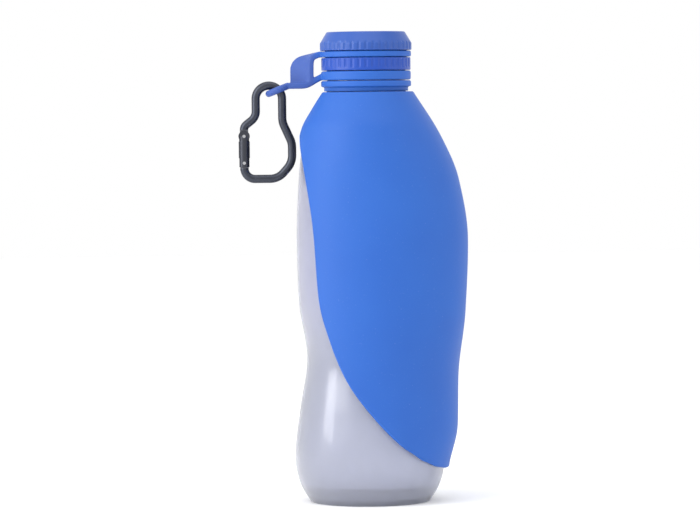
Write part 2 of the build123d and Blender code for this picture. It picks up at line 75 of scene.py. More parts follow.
camera_data = bpy.data.cameras.new("product_camera")
camera_data.sensor_width = 36
camera_data.lens = camera_data.sensor_width * camera_distance_mm / photo_width_mm
camera = bpy.data.objects.new("product_camera", camera_data)
bpy.context.scene.collection.objects.link(camera)
away = Vector((0, -cos(camera_elevation), sin(camera_elevation)))
camera.location = frame_centre + away * camera_distance_mm * MM
look = (-away).to_track_quat("-Z", "Y").to_matrix() @ Matrix.Rotation(-camera_roll, 3, "Z")
camera.rotation_euler = look.to_euler()
bpy.context.scene.camera = camera
print(f"lens {camera_data.lens:.0f} mm at {camera_distance_mm} mm")

# %% [markdown]
# ## Light and floor
#
# A product on a white sweep is lit by a bright, even room and by a few large soft boxes. The
# even room here is the world's white. The boxes add direction: the left one is the brightest,
# which is why the leaf gets darker from left to right, and its narrow twin gives the upright
# window of light on the frosted bottle.

# %% Light and floor
scene = bpy.context.scene
scene.view_settings.view_transform = "Standard"
scene.view_settings.look = "None"

world = bpy.data.worlds.new("white_room")
scene.world = world
world.use_nodes = True
room = world.node_tree.nodes["Background"]
room.inputs["Color"].default_value = (1, 1, 1, 1)
room.inputs["Strength"].default_value = 1.0

subject_centre = Vector((0, 0, 118)) * MM


def soft_box(name, azimuth, elevation, distance_mm, width_mm, height_mm, watts):
    """A rectangular soft light, aimed at the bottle; azimuth 0 is on the camera's side."""
    data = bpy.data.lights.new(name, "AREA")
    data.shape = "RECTANGLE"
    data.size = width_mm * MM
    data.size_y = height_mm * MM
    data.energy = watts
    box = bpy.data.objects.new(name, data)
    scene.collection.objects.link(box)
    side, up = radians(azimuth), radians(elevation)
    out = Vector((sin(side) * cos(up), -cos(side) * cos(up), sin(up)))
    box.location = subject_centre + out * distance_mm * MM
    box.rotation_euler = (-out).to_track_quat("-Z", "Y").to_euler()
    return box


soft_box("left_key", -58, 28, 900, 700, 700, 4.4)
soft_box("left_window", -70, 5, 700, 240, 120, 0.5)
soft_box("right_fill", 70, 20, 1200, 600, 900, 1.0)
soft_box("top_light", 10, 80, 1000, 900, 900, 3.0)

floor_mesh = bpy.data.meshes.new("floor")
reach = 3.0
floor_mesh.from_pydata(
    [(-reach, -reach, 0), (reach, -reach, 0), (reach, reach, 0), (-reach, reach, 0)],
    [], [(0, 1, 2, 3)],
)
floor = bpy.data.objects.new("floor", floor_mesh)
scene.collection.objects.link(floor)

# %% [markdown]
# ## Helpers for materials
#
# A colour is written as the sRGB hex value that a painter would pick, and `linear` turns it into
# the linear values that a shader mixes light with. `add_node` adds one node with its options and
# its inputs: an input that is a socket is linked, and any other input is a plain value.

# %% Colours and nodes
def linear(hex_colour):
    """An sRGB hex colour as linear red, green, blue and alpha."""
    channels = [int(hex_colour[i:i + 2], 16) / 255 for i in (1, 3, 5)]
    return (*(c / 12.92 if c <= 0.04045 else ((c + 0.055) / 1.055) ** 2.4 for c in channels), 1)


def add_node(material, kind, inputs=None, **options):
    """Adds a node to a material, sets its options, and sets or links its inputs."""
    tree = material.node_tree
    node = tree.nodes.new(kind)
    for option, value in options.items():
        setattr(node, option, value)
    for socket, value in (inputs or {}).items():
        if isinstance(value, bpy.types.NodeSocket):
            tree.links.new(value, node.inputs[socket])
        else:
            node.inputs[socket].default_value = value
    return node


def new_material(name):
    """An empty material, its shader and its surface coordinates in metres."""
    material = bpy.data.materials.new(name)
    material.use_nodes = True
    shader = material.node_tree.nodes["Principled BSDF"]
    place = add_node(material, "ShaderNodeTexCoord").outputs["Object"]
    return material, shader, place


def per_metre(size_mm):
    """A texture's scale for details of that size."""
    return 1 / (size_mm * MM)


def set_shader(material, shader, **inputs):
    """Sets or links the shader's inputs; a socket's spaces are written as underscores."""
    for name, value in inputs.items():
        socket = shader.inputs[name.replace("_", " ")]
        if isinstance(value, bpy.types.NodeSocket):
            material.node_tree.links.new(value, socket)
        else:
            socket.default_value = value


# %% [markdown]
# ## Floor paint
#
# The sweep is matt white paper. It is a little darker close to the bottle only because the
# bottle keeps some light away from it.

# %% Paper
paper, paper_shader, _ = new_material("matt_white_paper")
set_shader(paper, paper_shader, Base_Color=linear("#ffffff"), Roughness=0.9)
floor_mesh.materials.append(paper)

# %% [markdown]
# ## Silicone
#
# Leaf, collar and tether are liquid silicone rubber, moulded against a blasted steel mould. That
# gives a soft matt blue with a broad, weak highlight. Silicone is slightly milky, so light
# enters it a little: a small amount of subsurface scattering rounds off the shading. Static
# makes it catch fine dust, which shows as faint lighter specks, and its colour drifts a little
# where the wall is thicker. Further out along the tether's strap and loop, the blue is painted
# greyer and darker: painted shade and sheen. An argument says how far out that starts.

# %% Silicone
def silicone_material(name, painted_shade_from_mm=None):
    """Moulded blue silicone rubber: matt, soft, faintly mottled and a little dusty."""
    material, shader, place = new_material(name)
    drift = add_node(material, "ShaderNodeTexNoise", {
        "Vector": place, "Scale": per_metre(45), "Detail": 3.0, "Roughness": 0.5,
    })
    body = add_node(material, "ShaderNodeMix", {
        "Factor": drift.outputs["Fac"], "A": linear("#2257ae"), "B": linear("#2c64bb"),
    }, data_type="RGBA")
    # The strap and loop, further out than this x, are mixed towards a greyer, darker blue: painted
    # shade and sheen.
    if painted_shade_from_mm is not None:
        side = add_node(material, "ShaderNodeSeparateXYZ", {"Vector": place}).outputs["X"]
        painted_light_blend = add_node(material, "ShaderNodeMapRange", {
            "Value": side, "From Min": painted_shade_from_mm * MM, "From Max": (painted_shade_from_mm - 4) * MM,
        })
        body = add_node(material, "ShaderNodeMix", {
            "Factor": painted_light_blend.outputs["Result"], "A": body.outputs["Result"],
            "B": linear("#3a569e"),
        }, data_type="RGBA")
    # The dust's specks are really about 0.1 mm: they are drawn at 0.9 mm so that they show.
    dust = add_node(material, "ShaderNodeTexNoise", {
        "Vector": place, "Scale": per_metre(0.9), "Detail": 2.0, "Roughness": 0.6,
    })
    specks = add_node(material, "ShaderNodeMapRange", {
        "Value": dust.outputs["Fac"], "From Min": 0.66, "From Max": 0.80,
        "To Min": 0.0, "To Max": 0.10,
    })
    colour = add_node(material, "ShaderNodeMix", {
        "Factor": specks.outputs["Result"], "A": body.outputs["Result"], "B": linear("#b9c6e6"),
    }, data_type="RGBA")
    matt = add_node(material, "ShaderNodeMapRange", {
        "Value": drift.outputs["Fac"], "From Min": 0.3, "From Max": 0.7,
        "To Min": 0.46, "To Max": 0.56,
    })
    # The blasted mould leaves a grain of about 0.08 mm, drawn at 0.6 mm so that it shows.
    grain = add_node(material, "ShaderNodeTexNoise", {
        "Vector": place, "Scale": per_metre(0.6), "Detail": 4.0, "Roughness": 0.65,
    })
    bump = add_node(material, "ShaderNodeBump", {
        "Height": grain.outputs["Fac"], "Strength": 0.35, "Distance": 0.05 * MM,
    })
    set_shader(
        material, shader, Base_Color=colour.outputs["Result"], Roughness=matt.outputs["Result"],
        IOR=1.41, Normal=bump.outputs["Normal"], Subsurface_Weight=0.12,
        Subsurface_Radius=(0.2, 0.5, 1.0), Subsurface_Scale=1.2 * MM,
        Specular_IOR_Level=0.42,
    )
    return material


silicone = silicone_material("moulded_blue_silicone_rubber")
tether_silicone = silicone_material("blue_silicone_rubber_painted_shade", painted_shade_from_mm=-23)
print("silicones:", silicone.name, "and", tether_silicone.name)

# %% [markdown]
# ## Frosted plastic
#
# The bottle is blow-moulded low-density polyethylene, clear but frosted by the mould's fine
# blasting. Light goes through it and is scattered a little at each of its surfaces, so what is
# behind it blurs. The shader lets most light through, with a roughness that frosts it, and a
# small share of plain white scatter makes it milky. Its colour is a pale, cool grey, painted
# lighter and bluer above the waist: painted light, the blue that the leaf lends the wall there.
# A thin coat over the frost gives the smoother outside skin that mirrors the window.

# %% Frosted plastic
def frosted_material():
    """Blow-moulded frosted polyethylene: milky, see-through, with a soft gloss."""
    material, shader, place = new_material("blow_moulded_frosted_polyethylene")
    cloud = add_node(material, "ShaderNodeTexNoise", {
        "Vector": place, "Scale": per_metre(22), "Detail": 3.0, "Roughness": 0.55,
    })
    # With spots smoother than 0.30 the render's denoiser drew small marks on the wall.
    frost = add_node(material, "ShaderNodeMapRange", {
        "Value": cloud.outputs["Fac"], "From Min": 0.3, "From Max": 0.7,
        "To Min": 0.30, "To Max": 0.37,
    })
    # Above the waist the wall's colour is painted lighter and bluer: painted light from the blue
    # leaf.
    height = add_node(material, "ShaderNodeSeparateXYZ", {"Vector": place}).outputs["Z"]
    upper_painted_light = add_node(material, "ShaderNodeMapRange", {
        "Value": height, "From Min": 72 * MM, "From Max": 108 * MM,
    })
    milk = add_node(material, "ShaderNodeMix", {
        "Factor": upper_painted_light.outputs["Result"], "A": linear("#d6d9e8"), "B": linear("#e4e6fb"),
    }, data_type="RGBA")
    # Blow moulding leaves a faint orange peel, about 3 mm across.
    peel = add_node(material, "ShaderNodeTexNoise", {
        "Vector": place, "Scale": per_metre(3.0), "Detail": 2.0, "Roughness": 0.5,
    })
    bump = add_node(material, "ShaderNodeBump", {
        "Height": peel.outputs["Fac"], "Strength": 0.25, "Distance": 0.06 * MM,
    })
    set_shader(
        material, shader, Base_Color=milk.outputs["Result"], Roughness=frost.outputs["Result"],
        IOR=1.5, Transmission_Weight=0.82, Normal=bump.outputs["Normal"],
        Coat_Weight=0.5, Coat_Roughness=0.10,
    )
    return material


frosted = frosted_material()

# %% [markdown]
# ## Cap plastic
#
# The cap is injection-moulded polypropylene in a slightly greyer blue than the leaf. A moulded
# cap is satin, with a broad highlight along its flutes and its chamfer, and handling polishes
# and lightens its outer edges, which the `Pointiness` of the surface finds.

# %% Cap plastic
def cap_material():
    """Injection-moulded blue polypropylene: satin, with lighter, handled edges."""
    material, shader, place = new_material("injection_moulded_blue_polypropylene")
    edges = add_node(material, "ShaderNodeNewGeometry").outputs["Pointiness"]
    worn = add_node(material, "ShaderNodeMapRange", {
        "Value": edges, "From Min": 0.515, "From Max": 0.56, "To Min": 0.0, "To Max": 0.35,
    })
    # Below the head, the skirt is a darker, deeper blue than the head: painted shade under the head
    # and the tether's ring.
    height = add_node(material, "ShaderNodeSeparateXYZ", {"Vector": place}).outputs["Z"]
    painted_light_blend = add_node(material, "ShaderNodeMapRange", {
        "Value": height, "From Min": 221 * MM, "From Max": 227 * MM,
    })
    blue = add_node(material, "ShaderNodeMix", {
        "Factor": painted_light_blend.outputs["Result"], "A": linear("#0c42a4"), "B": linear("#204c9e"),
    }, data_type="RGBA")
    colour = add_node(material, "ShaderNodeMix", {
        "Factor": worn.outputs["Result"], "A": blue.outputs["Result"], "B": linear("#5a7cc0"),
    }, data_type="RGBA")
    handling = add_node(material, "ShaderNodeTexNoise", {
        "Vector": place, "Scale": per_metre(9), "Detail": 4.0, "Roughness": 0.6,
    })
    satin = add_node(material, "ShaderNodeMapRange", {
        "Value": handling.outputs["Fac"], "From Min": 0.3, "From Max": 0.7,
        "To Min": 0.30, "To Max": 0.42,
    })
    texture = add_node(material, "ShaderNodeTexNoise", {
        "Vector": place, "Scale": per_metre(0.5), "Detail": 3.0, "Roughness": 0.6,
    })
    bump = add_node(material, "ShaderNodeBump", {
        "Height": texture.outputs["Fac"], "Strength": 0.25, "Distance": 0.03 * MM,
    })
    set_shader(
        material, shader, Base_Color=colour.outputs["Result"], Roughness=satin.outputs["Result"],
        IOR=1.49, Normal=bump.outputs["Normal"],
    )
    return material


cap_plastic = cap_material()

# %% [markdown]
# ## Metals
#
# The carabiner is bent from aluminium rod, tumbled and anodised dark grey. Tumbling leaves a
# fine satin, the anodised film keeps it dark, and use wears it bright on its outer bends. The
# gate is pressed from sheet and takes a thicker film, so it is darker and wears less. Its pins,
# plunger and spring are bare stainless steel, brighter and smoother.

# %% Metals
def anodised_material(name, deep, pale, wear):
    """Tumbled and grey-anodised aluminium, worn a little on its outer bends."""
    material, shader, place = new_material(name)
    edges = add_node(material, "ShaderNodeNewGeometry").outputs["Pointiness"]
    worn = add_node(material, "ShaderNodeMapRange", {
        "Value": edges, "From Min": 0.52, "From Max": 0.60, "To Min": 0.0, "To Max": wear,
    })
    film = add_node(material, "ShaderNodeTexNoise", {
        "Vector": place, "Scale": per_metre(6), "Detail": 4.0, "Roughness": 0.6,
    })
    grey = add_node(material, "ShaderNodeMix", {
        "Factor": film.outputs["Fac"], "A": linear(deep), "B": linear(pale),
    }, data_type="RGBA")
    colour = add_node(material, "ShaderNodeMix", {
        "Factor": worn.outputs["Result"], "A": grey.outputs["Result"], "B": linear("#8c8e94"),
    }, data_type="RGBA")
    # Tumbling marks are short scratches about 0.05 mm wide, drawn at 0.3 mm so that they show.
    marks = add_node(material, "ShaderNodeTexNoise", {
        "Vector": place, "Scale": per_metre(0.3), "Detail": 3.0, "Roughness": 0.7,
    })
    satin = add_node(material, "ShaderNodeMapRange", {
        "Value": marks.outputs["Fac"], "From Min": 0.3, "From Max": 0.7,
        "To Min": 0.28, "To Max": 0.44,
    })
    bump = add_node(material, "ShaderNodeBump", {
        "Height": marks.outputs["Fac"], "Strength": 0.2, "Distance": 0.02 * MM,
    })
    set_shader(
        material, shader, Base_Color=colour.outputs["Result"], Metallic=1.0,
        Roughness=satin.outputs["Result"], Normal=bump.outputs["Normal"],
    )
    return material


def steel_material():
    """Drawn stainless steel wire and pin: bright, with faint lines along its length."""
    material, shader, place = new_material("drawn_stainless_steel")
    stretch = add_node(material, "ShaderNodeMapping", {
        "Vector": place, "Scale": (1.0, 1.0, 0.15),
    })
    lines = add_node(material, "ShaderNodeTexNoise", {
        "Vector": stretch.outputs["Vector"], "Scale": per_metre(0.2), "Detail": 3.0,
    })
    polish = add_node(material, "ShaderNodeMapRange", {
        "Value": lines.outputs["Fac"], "From Min": 0.3, "From Max": 0.7,
        "To Min": 0.18, "To Max": 0.34,
    })
    set_shader(
        material, shader, Base_Color=linear("#b9babd"), Metallic=1.0,
        Roughness=polish.outputs["Result"],
    )
    return material


def seal_material():
    """The cap's seal: translucent white silicone, moulded smooth."""
    material, shader, place = new_material("translucent_white_silicone")
    cloud = add_node(material, "ShaderNodeTexNoise", {
        "Vector": place, "Scale": per_metre(3), "Detail": 2.0,
    })
    matt = add_node(material, "ShaderNodeMapRange", {
        "Value": cloud.outputs["Fac"], "From Min": 0.3, "From Max": 0.7,
        "To Min": 0.38, "To Max": 0.5,
    })
    set_shader(
        material, shader, Base_Color=linear("#e9ebee"), Roughness=matt.outputs["Result"],
        IOR=1.41, Subsurface_Weight=0.3, Subsurface_Scale=1.0 * MM,
    )
    return material


anodised = anodised_material("tumbled_grey_anodised_aluminium", "#3c3f48", "#4c4f58", 0.5)
gate_anodised = anodised_material("pressed_grey_anodised_aluminium", "#2c2e35", "#383a42", 0.12)
steel = steel_material()
seal_silicone = seal_material()
print("metals:", anodised.name + ",", gate_anodised.name, "and", steel.name)

# %% [markdown]
# ## Helpers for shapes
#
# Nearly all of this object is turned or swept, so its meshes are rows of points joined by
# four-sided faces. `smooth_curve` gives a wall's outline from a few measured stations and never
# bulges past them. `rounded` turns a list of corners into an outline with real radii, because a
# moulded edge is never sharp, and its highlight is what shows an edge at all.

# %% Curves and outlines
def smooth_curve(*stations, fairing_mm=2.0):
    """A fair curve through (height, value) stations in millimetres, as a function."""
    height, value = (np.array(column, float) for column in zip(*sorted(stations)))
    step = np.diff(height)
    slope = np.diff(value) / step
    tangent = np.zeros(len(height))
    tangent[0], tangent[-1] = slope[0], slope[-1]
    for i in range(1, len(step)):
        if slope[i - 1] * slope[i] > 0:
            near, far = 2 * step[i] + step[i - 1], step[i] + 2 * step[i - 1]
            tangent[i] = (near + far) / (near / slope[i - 1] + far / slope[i])
    grid = np.arange(height[0], height[-1] + 0.25, 0.25)
    i = np.clip(np.searchsorted(height, grid) - 1, 0, len(step) - 1)
    t = np.clip((grid - height[i]) / step[i], 0, 1)
    curve = (
        (1 + 2 * t) * (1 - t) ** 2 * value[i] + t * (1 - t) ** 2 * step[i] * tangent[i]
        + t ** 2 * (3 - 2 * t) * value[i + 1] - t ** 2 * (1 - t) * step[i] * tangent[i + 1]
    )
    reach = int(3 * fairing_mm / 0.25)
    weights = np.exp(-0.5 * (np.arange(-reach, reach + 1) * 0.25 / fairing_mm) ** 2)
    ends = np.concatenate([
        2 * curve[0] - curve[reach:0:-1], curve, 2 * curve[-1] - curve[-2:-reach - 2:-1],
    ])
    faired = np.convolve(ends, weights / weights.sum(), "valid")
    return lambda z: np.interp(z, grid, faired)


def rounded(corners, closed=True, step=radians(12)):
    """Points of an outline whose corners, given as (across, up, radius), are arcs."""
    points = []
    for i, (across, up, radius) in enumerate(corners):
        here = Vector((across, up))
        if radius == 0 or (not closed and i in (0, len(corners) - 1)):
            points.append((across, up))
            continue
        back = Vector(corners[i - 1][:2]) - here
        ahead = Vector(corners[(i + 1) % len(corners)][:2]) - here
        half = back.angle(ahead) / 2
        cut = min(radius / tan(half), 0.49 * back.length, 0.49 * ahead.length)
        radius = cut * tan(half)
        centre = here + (back.normalized() + ahead.normalized()).normalized() * radius / sin(half)
        start = here + back.normalized() * cut - centre
        sweep = start.angle_signed(here + ahead.normalized() * cut - centre)
        count = max(2, ceil(abs(sweep) / step))
        for k in range(count + 1):
            arm = start.copy()
            arm.rotate(Matrix.Rotation(-sweep * k / count, 2))
            points.append(tuple(centre + arm))
    return points


def refine(points, longest):
    """The same outline with extra points, so that no run is longer than that."""
    out = [points[0]]
    for a, b in zip(points, points[1:]):
        count = max(1, ceil((Vector(b) - Vector(a)).length / longest))
        out += [tuple(Vector(a).lerp(Vector(b), k / count)) for k in range(1, count + 1)]
    return out


# %% [markdown]
# `skin` joins rows of points into a mesh. `turned` spins an outline round the bottle's axis, and
# its `shape` function may move a point in or out by where it is on the surface, which is how
# flutes, threads and mould lines become part of one clean surface.

# %% Meshes from rows of points
def skin(name, rows, wrap_rows=False, wrap_columns=True, sharp=radians(40)):
    """An object from an array of rows of points in millimetres."""
    rows = np.asarray(rows, float)
    count, width = rows.shape[:2]
    index = np.arange(count * width).reshape(count, width)
    if wrap_rows:
        index = np.concatenate([index, index[:1]])
    if wrap_columns:
        index = np.concatenate([index, index[:, :1]], axis=1)
    faces = np.stack(
        [index[:-1, :-1], index[:-1, 1:], index[1:, 1:], index[1:, :-1]], axis=-1,
    ).reshape(-1, 4)
    mesh = bpy.data.meshes.new(name)
    mesh.from_pydata((rows.reshape(-1, 3) * MM).tolist(), [], faces.tolist())
    return finished(name, mesh, sharp)


def finished(name, mesh, sharp=radians(40)):
    """Welds a mesh, faces it outwards, shades it smooth and links it as an object."""
    work = bmesh.new()
    work.from_mesh(mesh)
    bmesh.ops.remove_doubles(work, verts=work.verts, dist=0.002 * MM)
    bmesh.ops.recalc_face_normals(work, faces=work.faces)
    work.to_mesh(mesh)
    work.free()
    mesh.shade_smooth()
    mesh.set_sharp_from_angle(angle=sharp)
    piece = bpy.data.objects.new(name, mesh)
    bpy.context.scene.collection.objects.link(piece)
    return piece


def turned(name, outline, angles, shape=None, wrap_rows=False):
    """Spins an outline of (radius, height) points round the axis."""
    radius, height = (np.array(column)[:, None] for column in zip(*outline))
    angle = np.asarray(angles)[None, :]
    reach = radius + (shape(radius, height, angle) if shape else 0 * angle)
    rows = np.stack([reach * np.cos(angle), reach * np.sin(angle), height + 0 * angle], axis=-1)
    return skin(name, rows, wrap_rows=wrap_rows)


def even_angles(count):
    """Angles round a full turn."""
    return np.arange(count) * 2 * pi / count


def dress(piece, material, body, slot, *nodes):
    """Gives a piece its material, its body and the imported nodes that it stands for."""
    piece.data.materials.clear()
    piece.data.materials.append(material)
    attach(piece, body)
    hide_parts(*nodes)
    size = [round(side / MM, 1) for side in piece.dimensions]
    print(f"{piece.name}: {len(piece.data.polygons)} faces, {size} mm")


# %% [markdown]
# ## Thread
#
# Bottle and cap hold each other by one right-handed ridge that climbs 4.5 mm a turn. Instead of
# a separate coil stuck on the neck, the ridge is a swelling of the neck's own surface. At a
# given angle the ridge's middle is at a known height, so a point's distance from it says how far
# the surface stands out there. It fades in and out over an eighth of a turn, as a mould cuts it.

# %% Thread
thread_pitch = 4.5
thread_depth = 1.1
thread_base_width = 2.2
thread_crest_width = 1.0


def ridge(height, angle, start, turns):
    """How much of the thread's depth stands out at a height and an angle, from 0 to 1."""
    turn = angle / (2 * pi)
    nearest = np.round((height - start) / thread_pitch - turn)
    nearest = np.clip(nearest, 0, np.floor(turns - turn))
    off = np.abs(height - start - thread_pitch * (nearest + turn))
    flank = (thread_base_width - thread_crest_width) / 2
    stands = np.clip((thread_base_width / 2 - off) / flank, 0, 1)
    along = nearest + turn
    fade = np.clip(np.minimum(along, turns - along) * 8, 0, 1)
    return stands * fade * fade * (3 - 2 * fade)


# %% [markdown]
# ## Bottle
#
# One blow-moulded shell: a foot with a push-up in its middle, a belly, a waist that a hand
# squeezes, a long shoulder, and a neck with a bead and a thread. The wall is real, 1.2 mm, with
# an inside surface, because light that crosses two frosted walls is what makes the bottle look
# hollow. A blow mould closes in two halves, so a fine parting line runs up both sides.

# %% Bottle
bottle_wall = 1.2
punt_height = 3.2
foot_inner_radius = 24.5
foot_outer_radius = 29.8
base_wall = 1.6
neck_base_height = 205.4
neck_radius = 19.6
neck_bead_height = 215.8
neck_bead_top = 216.7
neck_bead_radius = 20.9
thread_root_radius = 17.6
neck_bore_radius = 16.0
mouth_height = 230.4
neck_thread_start = 220.0
neck_thread_turns = 1.75
parting_line_proud = 0.12
parting_line_width = 0.35

bottle_radius = smooth_curve(
    (0, foot_outer_radius), (7, 34.2), (13, 36.3), (22, 37.5), (46, 34.8), (72, 30.9), (101, 34.8),
    (130, 35.5), (165, 33.9), (187, 30.0), (196, 25.2), (neck_base_height, neck_radius),
)


def wall_points(low, high, inset, step=1.5):
    """The bottle's wall from one height to another, set in from its outside."""
    levels = np.linspace(low, high, max(2, ceil((high - low) / step)))
    return [(float(bottle_radius(z)) - inset, float(z)) for z in levels]


under_foot = [
    (foot_inner_radius * sin(a), punt_height * cos(a)) for a in np.linspace(0, pi / 2, 14)
]
neck_outside = rounded([
    (neck_radius, neck_base_height, 0),
    (neck_radius, neck_bead_height, 0.3),
    (neck_bead_radius, neck_bead_height, 0.3),
    (neck_bead_radius, neck_bead_top, 0.3),
    (thread_root_radius, neck_bead_top, 0.4),
    (thread_root_radius, mouth_height, 0.5),
    (neck_bore_radius, mouth_height, 0.3),
    (neck_bore_radius, neck_bead_height, 0.6),
    (neck_radius - bottle_wall, neck_bead_height - 3.0, 0.6),
    (neck_radius - bottle_wall, neck_base_height, 0),
], closed=False)
inside_floor = rounded([
    (float(bottle_radius(9.0)) - bottle_wall, 9.0, 0),
    (float(bottle_radius(3.0)) - bottle_wall - 1.4, 3.2, 3.0),
    (foot_inner_radius, base_wall, 2.0),
    (0, punt_height + base_wall, 0),
], closed=False)
foot_edge = rounded([
    (foot_inner_radius, 0, 0), (foot_outer_radius, 0, 1.0), (float(bottle_radius(2.0)), 2.0, 0),
], closed=False)
bottle_outline = (
    under_foot
    + foot_edge[1:]
    + wall_points(4, neck_base_height, 0)
    + refine(neck_outside, 0.3)[1:]
    + wall_points(9.5, neck_base_height - 1.5, bottle_wall)[::-1]
    + refine(inside_floor, 2.0)
)

seam = np.array([-0.9, -0.45, -0.2, 0, 0.2, 0.45, 0.9]) / 36
bottle_angles = np.sort(np.unique(np.round(np.concatenate([
    even_angles(216)[2:107], even_angles(216)[110:215],
    seam % (2 * pi), pi + seam,
]), 6)))


def bottle_shape(radius, height, angle):
    """The neck's thread, and the parting line that the two mould halves leave."""
    on_neck = (np.abs(radius - thread_root_radius) < 0.1) & (height > neck_bead_top)
    thread = on_neck * thread_depth * ridge(height, angle, neck_thread_start, neck_thread_turns)
    outside = radius > bottle_radius(np.clip(height, 0, neck_base_height)) - 0.5
    across = radius * np.minimum(np.abs(np.sin(angle)), 1)
    line = np.exp(-(across / parting_line_width) ** 2) * parting_line_proud
    low_enough = np.clip((neck_base_height - height) / 6, 0, 1) * np.clip(height / 3, 0, 1)
    return thread + outside * line * low_enough


bottle = turned("frosted_bottle", bottle_outline, bottle_angles, bottle_shape)
dress(bottle, frosted, "bottle", "frosted_plastic", "bottle_body")

# %% [markdown]
# ## Leaf
#
# The scoop is one thick silicone sheet, 2 mm, that hugs the back of the bottle and stands off
# its front in a long bulge. A sheet is best made as a middle surface with a thickness: a patch
# of rows and columns is laid on the leaf's oval sections, both faces are set off from it along
# the surface's own direction, and a round rim is swept along its border. Its border is the
# outline that the photograph shows in side view, from a blunt tip by the foot up to the slot
# that the tether passes through when the leaf is turned out.

# %% Leaf: its oval sections and its border
leaf_wall = 2.0
leaf_tip_height = 16.5
leaf_top = 205.1
leaf_rim = 1.0
leaf_rim_bead = 0.22
leaf_bead_reach = 1.8
slot_half_width = 6.5

leaf_hug = smooth_curve(
    (15.5, 40.1), (22, 40.1), (130, 39.3), (165, 38.0), (187, 33.6), (196, 28.8),
    (202.8, 24.7), (leaf_top, 23.2), fairing_mm=1.5,
)
leaf_front = smooth_curve(
    (15.5, 39.4), (16.5, 39.5), (38, 44.2), (62, 44.7), (95, 48.6), (131, 50.2), (161, 45.9),
    (182, 37.4), (202.8, 24.7), (leaf_top, 23.2), fairing_mm=1.5,
)
leaf_edge_x = smooth_curve(
    (16.5, 38.0), (26, 21.5), (46, 1.0), (64, -11.8), (83, -19.5), (101, -24.3),
    (137, -26.9), (173, -32.0), (188, -34.2), (leaf_top, -36.0), fairing_mm=2.5,
)


def leaf_oval(height, inset):
    """Middle and half sizes of the leaf's oval section at a height."""
    front, hug = leaf_front(height), leaf_hug(height)
    return (front - hug) / 2, (front + hug) / 2 - inset, hug - inset


def border_angle(height):
    """Half of the angle that the leaf covers at a height, measured from its front."""
    middle, half_x, half_y = leaf_oval(height, leaf_wall / 2)
    side = np.arccos(np.clip((leaf_edge_x(height) - middle) / half_x, -1, 1))
    side = np.where((leaf_edge_x(height) - middle) / half_x < -0.999, 4.0, side)
    slot = pi - np.arcsin(np.clip((slot_half_width + leaf_rim) / half_y, 0, 1))
    ease = 0.25
    share = np.clip(0.5 + 0.5 * (slot - side) / ease, 0, 1)
    soft = slot * (1 - share) + side * share - ease * share * (1 - share)
    return soft - leaf_rim / half_y


# %% [markdown]
# The patch has four sides: the blunt tip is its lower side, the two long borders are its left
# and right, and the fold at the neck is its top. Rows are closer together near the tip and the
# fold, and columns are closer together near the borders, where the rim needs them.

# %% Leaf: the middle surface
corner_height = 30.0
leaf_rows, leaf_columns = 190, 181
tip_curve = smooth_curve(
    (-1, corner_height), (-0.85, 25.6), (-0.5, 19.6), (0, leaf_tip_height + leaf_rim),
    (0.5, 19.6), (0.85, 25.6), (1, corner_height), fairing_mm=0.12,
)


def closer_at_ends(count, pull=0.6):
    """Shares from 0 to 1 that lie closer together near both ends."""
    t = np.linspace(0, 1, count)
    return t - pull * np.sin(2 * pi * t) / (2 * pi)


across = 2 * closer_at_ends(leaf_columns) - 1
up = closer_at_ends(leaf_rows)[:, None]
border_height = corner_height + up * (leaf_top - leaf_rim - corner_height)
leaf_angle = across[None, :] * border_angle(border_height)
leaf_height = tip_curve(across)[None, :] * (1 - up) + (leaf_top - leaf_rim) * up
oval_middle, oval_x, oval_y = leaf_oval(leaf_height, leaf_wall / 2)
middle_surface = np.stack([
    oval_middle + oval_x * np.cos(leaf_angle), oval_y * np.sin(leaf_angle), leaf_height,
], axis=-1)


def unit(vectors):
    """Vectors of length one."""
    return vectors / np.linalg.norm(vectors, axis=-1, keepdims=True)


along_rows = np.gradient(middle_surface, axis=1)
up_columns = np.gradient(middle_surface, axis=0)
outwards = unit(np.cross(along_rows, up_columns))

# %% Leaf: its two faces and its round rim
border_index = (
    [(0, c) for c in range(leaf_columns)]
    + [(r, leaf_columns - 1) for r in range(1, leaf_rows)]
    + [(leaf_rows - 1, c) for c in range(leaf_columns - 2, -1, -1)]
    + [(r, 0) for r in range(leaf_rows - 2, 0, -1)]
)
border_rows, border_columns = (np.array(column) for column in zip(*border_index))
border = middle_surface[border_rows, border_columns]
border_normal = outwards[border_rows, border_columns]
border_run = unit(np.roll(border, -2, axis=0) - np.roll(border, 2, axis=0))
border_out = unit(np.cross(border_run, border_normal))


def bead_share(height):
    """How much of the rim's bead there is at a height: none at the fold, so that it can turn."""
    return np.clip((leaf_top - 2 - height) / 6, 0, 1)


flat = middle_surface.reshape(-1, 3)
from_border = np.full(len(flat), np.inf)
for spot in border:
    from_border = np.minimum(from_border, np.linalg.norm(flat - spot, axis=1))
bead = leaf_rim_bead * np.exp(-(from_border / leaf_bead_reach) ** 2) * bead_share(flat[:, 2])
bead = bead.reshape(leaf_rows, leaf_columns, 1)
outer_face = middle_surface + outwards * leaf_wall / 2
inner_face = middle_surface - outwards * (leaf_wall / 2 + 2 * bead)

rim_steps = np.linspace(0, pi, 9)
rim_bead = leaf_rim_bead * bead_share(border[:, 2])[:, None]
rim_radius = leaf_wall / 2 + rim_bead
rim_middle = border - border_normal * rim_bead
rim = np.stack([
    rim_middle + rim_radius * (border_normal * cos(a) + border_out * sin(a)) for a in rim_steps
])
print(f"leaf rim is {np.linalg.norm(np.diff(border, axis=0), axis=1).sum():.0f} mm round")

